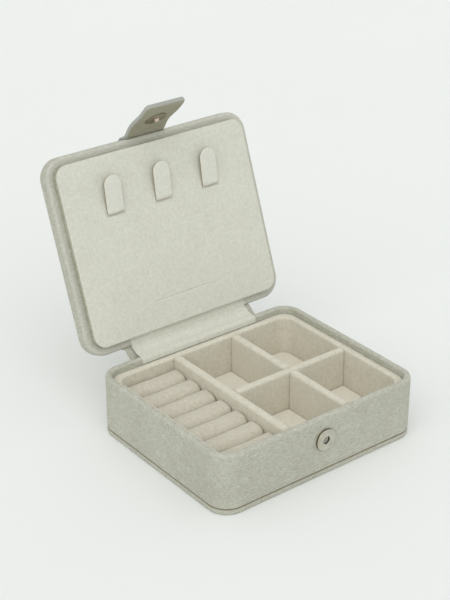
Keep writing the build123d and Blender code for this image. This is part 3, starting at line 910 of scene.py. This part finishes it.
for row_name in ("front", "back"):
    for side_name in ("left", "right"):
        place_name = f"floor_pad_{row_name}_{side_name}"
        floor_pad(f"soft_{place_name}", place_name)

# %% [markdown]
# ## Ring rolls
# Seven foam rods wrapped in suede lie side by side, pressed together so that rings stay between
# them. The pressing makes their sections rounded squares, with narrow creases between. A
# geometry tree makes each plain rod, and a short cloth simulation then puffs it up as foam fills
# its cover. The simulation works at ten times the size, where cloth behaves, and starts a little
# thin, because the rod swells. How far it may swell is limited.
# %% A tree for one plain roll
roll_tree, given = new_tree("plain roll", [("Start", "Vector"), ("End", "Vector"),
                                           ("Radius", "Float"), ("Corner", "Float"),
                                           ("End Round", "Float"), ("Unevenness", "Float"),
                                           ("Seed", "Float"), ("Suede", "Material")])
line = add(roll_tree, "GeometryNodeCurvePrimitiveLine",
           {"Start": given["Start"], "End": given["End"]})
line = add(roll_tree, "GeometryNodeResampleCurve", {"Curve": line.outputs[0], "Count": 90})
where = add(roll_tree, "GeometryNodeSplineParameter")
total = add(roll_tree, "GeometryNodeSplineLength")
rest = maths(roll_tree, "SUBTRACT", total.outputs["Length"], where.outputs["Length"])
near = maths(roll_tree, "MINIMUM", where.outputs["Length"], rest)
near = maths(roll_tree, "DIVIDE", near, given["End Round"], use_clamp=True)
near = maths(roll_tree, "SUBTRACT", 1.0, near)
near = maths(roll_tree, "POWER", near, 2.0)
near = maths(roll_tree, "SUBTRACT", 1.0, near)
near = maths(roll_tree, "SQRT", near)
near = maths(roll_tree, "ADD", near, -1.0)
thick = maths(roll_tree, "MULTIPLY_ADD", near, given["End Round"], given["Radius"])
ring = add(roll_tree, "GeometryNodeCurvePrimitiveQuadrilateral", {"Width": 2.0, "Height": 2.0})
ring = add(roll_tree, "GeometryNodeFilletCurve",
           {"Curve": ring.outputs[0], "Radius": given["Corner"], "Count": 12}, mode="POLY")
ring = add(roll_tree, "GeometryNodeResampleCurve", {"Curve": ring.outputs[0], "Count": 64})
rod = add(roll_tree, "GeometryNodeCurveToMesh",
          {"Curve": line.outputs[0], "Profile Curve": ring.outputs[0],
           "Scale": thick, "Fill Caps": True})
lumps = add(roll_tree, "ShaderNodeTexNoise", {"W": given["Seed"], "Scale": 70.0, "Detail": 1.0},
            noise_dimensions="4D")
lumps = maths(roll_tree, "SUBTRACT", lumps.outputs["Fac"], 0.5)
lumps = maths(roll_tree, "MULTIPLY", lumps, given["Unevenness"])
outward = add(roll_tree, "GeometryNodeInputNormal")
shift = add(roll_tree, "ShaderNodeVectorMath",
            {0: outward.outputs[0], "Scale": lumps}, operation="SCALE")
moved = add(roll_tree, "GeometryNodeSetPosition",
            {"Geometry": rod.outputs[0], "Offset": shift.outputs[0]})
real = add(roll_tree, "GeometryNodeRealizeInstances", {0: moved.outputs[0]})
done = add(roll_tree, "GeometryNodeSetMaterial",
           {"Geometry": real.outputs[0], "Material": given["Suede"]})
add(roll_tree, "NodeGroupOutput", {0: done.outputs[0]})
print("roll tree:", len(roll_tree.nodes), "nodes")

# %% Puffing up a roll
TIMES = 10


def puff(mesh, middle, voxel, limit):
    """Inflates a closed mesh as cloth with pressure inside, and gives back the new mesh."""
    enlarge = Matrix.Scale(TIMES, 4) @ Matrix.Translation(-middle)
    mesh.transform(enlarge)
    stuffed = new_object("stuffed", mesh)
    even = stuffed.modifiers.new("even", "REMESH")
    even.mode, even.voxel_size = "VOXEL", voxel * MM * TIMES
    stuffed.data = evaluated(stuffed)
    stuffed.modifiers.clear()
    start = [vertex.co.copy() for vertex in stuffed.data.vertices]
    cloth = stuffed.modifiers.new("cloth", "CLOTH")
    cloth.settings.quality = 4
    cloth.settings.use_pressure = True
    cloth.settings.uniform_pressure_force = 4
    cloth.settings.effector_weights.gravity = 0
    scene = bpy.context.scene
    for number in range(1, 21):
        scene.frame_set(number)
    blown = evaluated(stuffed)
    scene.frame_set(1)
    stuffed.modifiers.clear()
    stuffed.data = blown
    for vertex, before in zip(blown.vertices, start):
        step = vertex.co - before
        if step.length > limit * MM * TIMES:
            vertex.co = before + step.normalized() * limit * MM * TIMES
    finer = stuffed.modifiers.new("finer", "SUBSURF")
    finer.levels = finer.render_levels = 1
    result = evaluated(stuffed)
    bpy.data.objects.remove(stuffed)
    result.transform(enlarge.inverted())
    return result


# %% Seven rolls
for number in range(1, 8):
    low, high = box_mm(f"ring_roll_{number}")
    radius = (high.z - low.z) / 2
    middle = (low + high) / 2
    swelling = 0.35
    rod_mesh = grow("rod", roll_tree, {
        "Start": on_box(low.x + swelling, middle.y, middle.z),
        "End": on_box(high.x - swelling, middle.y, middle.z),
        "Radius": (radius - swelling) * MM, "Corner": 0.74, "End Round": 2.0 * MM,
        "Unevenness": 0.7 * MM, "Seed": number * 1.7, "Suede": roll_suede})
    rod_mesh = puff(rod_mesh, middle * MM, 0.95, swelling)
    roll = link(f"suede_roll_{number}", rod_mesh, roll_suede)
    finish_piece(roll, "base", "roll_suede", f"ring_roll_{number}")


# %% [markdown]
# ## Strips that bend
# The hinge is two strips: leather outside, suede inside. The strap is a third. Each follows a
# line seen from the side and has a flat section with rounded edges. They cross a joint, so each
# bends from one body to the next, and enough rows lie across the bend for it to stay round.
# %% Helper for strips
def flow(stops, step):
    """Evenly spaced points on a smooth line through the stops, in millimetres."""
    ends = [stops[0] * 2 - stops[1], *stops, stops[-1] * 2 - stops[-2]]
    line = []
    for a, b, c, d in zip(ends, ends[1:], ends[2:], ends[3:]):
        for i in range(24):
            t = i / 24
            line.append(0.5 * (2 * b + (c - a) * t + (2 * a - 5 * b + 4 * c - d) * t ** 2
                               + (3 * b - a - 3 * c + d) * t ** 3))
    line.append(stops[-1])
    lengths = [0.0]
    for a, b in zip(line, line[1:]):
        lengths.append(lengths[-1] + (b - a).length)
    count, even, at = max(2, round(lengths[-1] / step)), [], 0
    for i in range(count + 1):
        want = lengths[-1] * i / count
        while at < len(lengths) - 2 and lengths[at + 1] < want:
            at += 1
        t = (want - lengths[at]) / max(lengths[at + 1] - lengths[at], 1e-9)
        even.append(line[at].lerp(line[at + 1], min(max(t, 0), 1)))
    return even, lengths[-1]


def strip(name, line, half_wide, thick, rounding, finish, steps):
    """A flat strip along a line in the YZ plane. Half_wide gives half its width at each point."""
    rows = []
    for index, point in enumerate(line):
        ahead = line[min(index + 1, len(line) - 1)] - line[max(index - 1, 0)]
        ahead.normalize()
        side = Vector((0, -ahead.z, ahead.y))
        wide, high = half_wide(index), thick(index) / 2
        section = rounded_loop(wide, high, min(rounding, high * 0.95), steps)
        rows.append([(point + across * x + side * y) * MM for x, y in section])
    return build(name, rows, finish)


def yz(y, z):
    return Vector((0, y, z))


def lid_yz(up, out):
    return (lid_edge + (lid_up * up + lid_in * out) * MM) / MM


# %% Outer leather of the hinge
leather_half = box_mm("hinge_leather_base")[1].x
leather_low = box_mm("hinge_leather_base")[0].z
hinge_thick, glue = 1.2, 0.05
back = half_d + glue + hinge_thick / 2
under = -glue - hinge_thick / 2
pivot = yz(hinge.y / MM, hinge.z / MM)
stops = [yz(back, leather_low + 0.6), yz(back, 24), yz(back, 30), yz(back, 35.2),
         yz(back + 0.9, 37.3), pivot + yz(-1.1, -0.9), pivot + yz(1.4, 0.9),
         lid_yz(under, -1.4), lid_yz(under, -4), lid_yz(under, -7.2)]
leather_line, _ = flow(stops, 0.5)
hinge_leather = strip("hinge_leather", leather_line, lambda i: leather_half,
                      lambda i: hinge_thick, 0.45, creased_leather, (98, 1, 3))
soften(hinge_leather, 0.08, swell, 9.9)
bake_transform(hinge_leather)
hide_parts("hinge_leather_base", "hinge_leather_lid")

# %% [markdown]
# The inner strip is thin suede. It starts at the lining, covers the rim's inside and top, spans
# the gap and goes up the raised panel's near edge. It lies in fine creases along the hinge.
# %% Inner suede of the hinge
suede_half = box_mm("hinge_suede_base")[1].x
suede_t = 0.36
inside = half_d - rim_t - 0.05 - suede_t / 2
over = rim + 0.06 + suede_t / 2
stops = [yz(inside, lining_top + 0.3), yz(inside, 37.4), yz(inside + 0.35, 39.1),
         yz(inside + 1.7, over), yz(half_d - 2.0, over), yz(half_d - 0.3, over - 0.05),
         yz(half_d + 1.9, over + 0.35), yz(half_d + 4.4, over + 1.5), lid_yz(-0.6, 0.1),
         lid_yz(1.4, 0.42), lid_yz(3.4, 0.2), lid_yz(4.6, 0.4), lid_yz(plinth_near - 0.25, 1.4),
         lid_yz(plinth_near - 0.25, plinth_top)]
suede_line, suede_long = flow(stops, 0.4)
hinge_suede = strip("hinge_suede", suede_line, lambda i: suede_half, lambda i: suede_t, 0.15,
                    panel_suede, (110, 1, 2))


def crease(point, seed):
    """Long creases that run along the hinge."""
    at = Vector((point.x * 22 + seed, point.y * 620, point.z * 620))
    return noise.noise(at)


gap_middle = yz(half_d + 3.6, over + 1.0) * MM
soften(hinge_suede, 0.3, crease, 0.7,
       lambda p: max(0.12, 1 - (p - across * p.x - gap_middle).length / 0.006))
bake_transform(hinge_suede)
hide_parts("hinge_suede_base", "hinge_suede_lid")
print("suede strip is", round(suede_long, 1), "mm long")

# %% [markdown]
# ## The closure strap
# Two leathers are glued back to back. The tail is fixed to the lid's outer face, bends over the
# far edge and ends in a flap with small round corners. The strap is thinner round that edge, and
# the flap curves in an S. Its cut edge is painted and rounded.
# %% Strap
strap_half = box_mm("strap_outer")[1].x
strap_t, tail_u, strap_open = 3.0, 94.8, math.radians(18.5)
tail_t, strap_step = 1.5, 0.55
strap_side = -lid_t - 0.05 - tail_t / 2
round_r = lid_round + 0.05 + tail_t / 2
lid_far = 2 * half_d
tail_rest = [lid_yz(tail_u + 0.4, strap_side), lid_yz(103, strap_side), lid_yz(112, strap_side)]
bend = [lid_yz(lid_far - lid_round + round_r * math.sin(t),
               lid_round - lid_t - round_r * math.cos(t))
        for t in [math.radians(a) for a in (0, 22, 45, 68, 90)]]
flap_out = lid_in * math.cos(strap_open) + lid_up * math.sin(strap_open)
flap_in = lid_in * math.sin(strap_open) - lid_up * math.cos(strap_open)
fold_mm = fold / MM
snap_reach = 23.4
rises = [(124.5, -3.4), (125.3, -0.6), (128.0, 2.9), (130.4, 6.4), (132.2, 10.2)]
rise = [lid_yz(*at) for at in rises]
snap_mm = fold_mm + flap_out * snap_reach
ends = [(4.6, -0.1), (9.0, -0.55), (13.5, -1.25), (17.2, -2.0)]
flap = [snap_mm] + [snap_mm + flap_out * at + flap_in * lifted for at, lifted in ends]
strap_line, strap_long = flow(tail_rest + bend + rise + flap, strap_step)
wrap_long = flow(tail_rest + bend, strap_step)[1]
tip_r = 3.0
strap_count = len(strap_line)


def strap_width(index):
    """Half the strap's width, narrower at the rounded tip and tail."""
    from_tip = (strap_count - 1 - index) * strap_step
    from_tail = index * strap_step
    narrow = 0.0
    for near, r in ((from_tip, tip_r), (from_tail, 2.0)):
        if near < r:
            narrow = max(narrow, r - math.sqrt(r * r - (r - near) ** 2))
    return strap_half - narrow


def strap_thick(index):
    """The strap's thickness, which grows past the bend. The ends are pared."""
    from_end = min(strap_count - 1 - index, index) * strap_step
    past_bend = min(max((index * strap_step - wrap_long) / 7.0, 0), 1)
    full = tail_t + (strap_t - tail_t) * past_bend * past_bend * (3 - 2 * past_bend)
    return full * (1 - 0.5 * max(0, 1 - from_end / 1.0) ** 2)


strap = strip("closure_strap", strap_line, strap_width, strap_thick, 1.1, shaded_leather,
              (42, 2, 5))
soften(strap, 0.1, swell, 7.7)
mark_edge_and_light(strap, lambda place, normal: 2.2 * max(abs(normal.x), normal.dot(flap_out)) - 1.0)
# The inner face takes a darker olive: painted shade on the face turned away from the light.
mark_edge_and_light(strap, lambda place, normal: 0.62 * min(max(normal.dot(flap_in) * 2, 0), 1), "inner")
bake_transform(strap)
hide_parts("strap_anchor", "strap_outer", "strap_lining")
print("strap is", round(strap_long, 1), "mm long")


# %% [markdown]
# ## The snap
# Both halves are turned shapes: a profile is spun round the snap's own axis. The half on the box
# is a flat cap with a rolled edge, a shallow dish, and a hole with a thin pin in its middle. The
# half on the strap is a thin plate with a hollow post, which the pin enters.
# %% Turned snap parts
def turned(name, profile, centre, axis, finish, steps=72):
    """A shape spun from radii and heights about an axis."""
    side = axis.cross(across).normalized()
    rows = []
    for radius, height in profile:
        ring = []
        for i in range(steps):
            t = 2 * math.pi * i / steps
            ring.append(centre + (axis * height + (across * math.cos(t) + side * math.sin(t))
                                  * max(radius, 0.001)) * MM)
        rows.append(ring)
    return build(name, rows, finish)


socket_low, socket_high = box_mm("snap_socket")
snap_r, proud = socket_high.x, -half_d - socket_low.y
snap_z = (socket_low.z + socket_high.z) / 2
face = proud - 0.06
cap_profile = [(snap_r - 0.15, -0.15), (snap_r, 0.1), (snap_r, 1.1), (snap_r - 0.05, 1.3),
               (snap_r - 0.2, 1.46), (snap_r - 0.5, face), (snap_r - 1.0, face),
               (snap_r - 1.3, face - 0.1), (4.6, face - 0.14), (3.4, face - 0.14),
               (3.2, face - 0.08), (3.0, face), (2.8, face), (2.6, face - 0.06),
               (2.48, face - 0.2), (2.42, 0.5), (2.3, 0.2), (1.6, 0.1), (0.9, 0.08),
               (0.58, 0.14), (0.54, 0.9), (0.4, 1.04), (0.0, 1.08)]
snap_cap = turned("snap_cap", cap_profile, on_box(0, -half_d, snap_z), Vector((0, -1, 0)),
                  snap_plate)
# Faces not turned to the front, the rolled edge's sides and the hole, take the darker tone: painted
# shade and reflection.
mark_edge_and_light(snap_cap, lambda place, normal: 1.2 - 1.6 * abs(normal.y))
finish_piece(snap_cap, "base", "snap_metal", "snap_socket")

stud_at = snap_mm + flap_in * (strap_t / 2)
plate_profile = [(snap_r - 0.1, -0.3), (snap_r, 0.1), (snap_r, 0.4), (snap_r - 0.15, 0.65),
                 (snap_r - 0.5, 0.8), (5.4, 0.72), (4.2, 0.62), (2.6, 0.66), (1.8, 0.8),
                 (1.55, 1.0), (1.45, 1.5), (1.5, 1.8), (1.42, 2.0), (1.2, 2.1), (0.85, 2.08),
                 (0.7, 1.95), (0.68, 1.1), (0.4, 0.95), (0.0, 0.95)]
snap_stud = turned("snap_stud", plate_profile, stud_at * MM, flap_in, stud_plate)
# The post takes the pale tone: a painted highlight.
mark_edge_and_light(snap_stud, lambda place, normal: 1.0 if
         (place / MM - stud_at).cross(flap_in).length < 1.7 else 0.0)
finish_piece(snap_stud, "strap", "snap_metal", "stud_plate", "stud_post")

# %% [markdown]
# ## Parts that stay as they are
# Boards, washers and the magnet are plain flat shapes inside the covers. Their modelled shapes
# are right, so they only get their finishes.
# %% Finishes for the inner parts
for node_name, finish in [("bottom_board", greyboard), ("wall_core", greyboard),
                          ("lid_board", greyboard), ("plinth_board", greyboard),
                          ("floor_board", greyboard), ("ring_bed", lining_suede),
                          ("snap_magnet", magnet_grey), ("snap_washer", snap_plate),
                          ("stud_washer", snap_plate)]:
    node_object = frame["nodes"][node_name]
    node_object.data.materials.clear()
    node_object.data.materials.append(finish)

# %% [markdown]
# ## Floor, light and camera
# The case stands on a plain pale sheet in soft, even studio light: one very wide source from the
# camera's side, far enough away to light the floor evenly, and a bright surround. Wide light
# gives a faint, blurred shadow. Far off the sheet sweeps up, so that no horizon shows. The camera
# looks down at the open lid from the front left.
# %% Studio
floor_material, tree, shader, place = start_material("pale_studio_floor")
floor_colour = ramp(tree, speckle(tree, place, 3.0, 2.0), [(0.0, "#EEF0EE"), (1.0, "#F1F2F1")])
feed(tree, shader, {"Base Color": floor_colour, "Roughness": 0.9})
sweep = [(0.02, 0), (1.5, 0), (4.0, 0), (5.0, 0.1), (6.0, 0.4), (7.0, 1.0), (7.8, 1.9),
         (8.2, 3.0)]
spokes = 96
around = [2 * math.pi * i / spokes for i in range(spokes)]
points = [(r * math.cos(t), r * math.sin(t), z) for r, z in sweep for t in around]
faces = [(a + j, a + (j + 1) % spokes, a + spokes + (j + 1) % spokes, a + spokes + j)
         for a in range(0, spokes * (len(sweep) - 1), spokes) for j in range(spokes)]
faces.append(tuple(range(spokes)))
floor_mesh = bpy.data.meshes.new("floor")
floor_mesh.from_pydata(points, [], faces)
floor_mesh.shade_smooth()
floor_mesh.materials.append(floor_material)
floor = new_object("floor", floor_mesh)
floor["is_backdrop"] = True

world = bpy.data.worlds.new("studio")
bpy.context.scene.world = world
world.use_nodes = True
feed(world.node_tree, world.node_tree.nodes["Background"],
     {"Color": linear("#F7F9F7"), "Strength": 0.76})

key_data = bpy.data.lights.new("key_light", "SUN")
key_data.energy, key_data.angle = 1.38, math.radians(80)
key = new_object("key_light", key_data)
key.rotation_mode = "QUATERNION"
key.rotation_quaternion = Vector((0.56, 0.52, -0.65)).to_track_quat("-Z", "Y")

camera_data = bpy.data.cameras.new("camera")
camera_data.sensor_width, camera_data.lens = 36.0, 89.36
camera = new_object("camera", camera_data)
camera.location = (-0.49155, -0.59888, 0.49232)
camera.rotation_mode = "QUATERNION"
look = Vector((0.54523, 0.70009, -0.46109))
camera.rotation_quaternion = look.to_track_quat("-Z", "Y")
camera_data.clip_start, camera_data.clip_end = 0.05, 30
bpy.context.scene.camera = camera
bpy.context.scene.view_settings.view_transform = "Standard"

# %% [markdown]
# ## Size
# The dressed case is meant to keep the size of the modelled one, so both boxes are printed.
# %% Sizes and finish
shown_low, shown_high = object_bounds()
for label, low, high in (("cad", cad_low, cad_high), ("visual", shown_low, shown_high)):
    print(label, [round((b - a) / MM, 1) for a, b in zip(low, high)])
